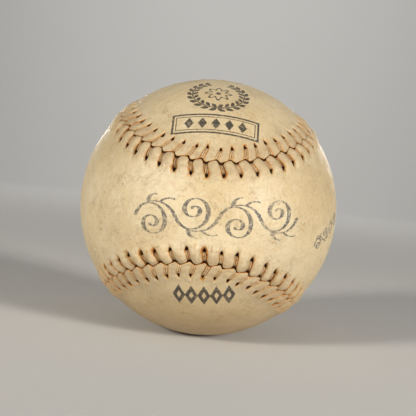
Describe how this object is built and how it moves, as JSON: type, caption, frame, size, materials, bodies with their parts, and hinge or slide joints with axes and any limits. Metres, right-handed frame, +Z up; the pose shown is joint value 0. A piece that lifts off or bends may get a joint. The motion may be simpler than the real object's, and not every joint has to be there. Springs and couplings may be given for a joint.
{
  "type": "softball",
  "caption": "Ball with a kapok core, yarn winding and latex coat under two figure-eight leather panels sewn along one raised seam.",
  "frame": {"origin": "centre of the ball", "axes": "+Z up; -Y out of the middle of the front panel's waist, which lies along X; the back panel's waist faces +Y and stands along Z, so its lobes are the top and the bottom"},
  "size_m": [0.097, 0.097, 0.097],
  "materials": {
    "kapok": "compressed plant fibre",
    "yarn": "tightly wound twisted yarn",
    "latex": "dipped latex, dull",
    "leather": "aged cream leather with a low sheen, stained beside the seam",
    "waxed_thread": "waxed thread, darkened to tan"
  },
  "bodies": {
    "root": {"kapok_core": "kapok", "yarn_winding": "yarn", "latex_coat": "latex", "cover_front": "leather", "cover_back": "leather", "thread_first_needle": "waxed_thread", "thread_second_needle": "waxed_thread"}
  },
  "joints": []
}
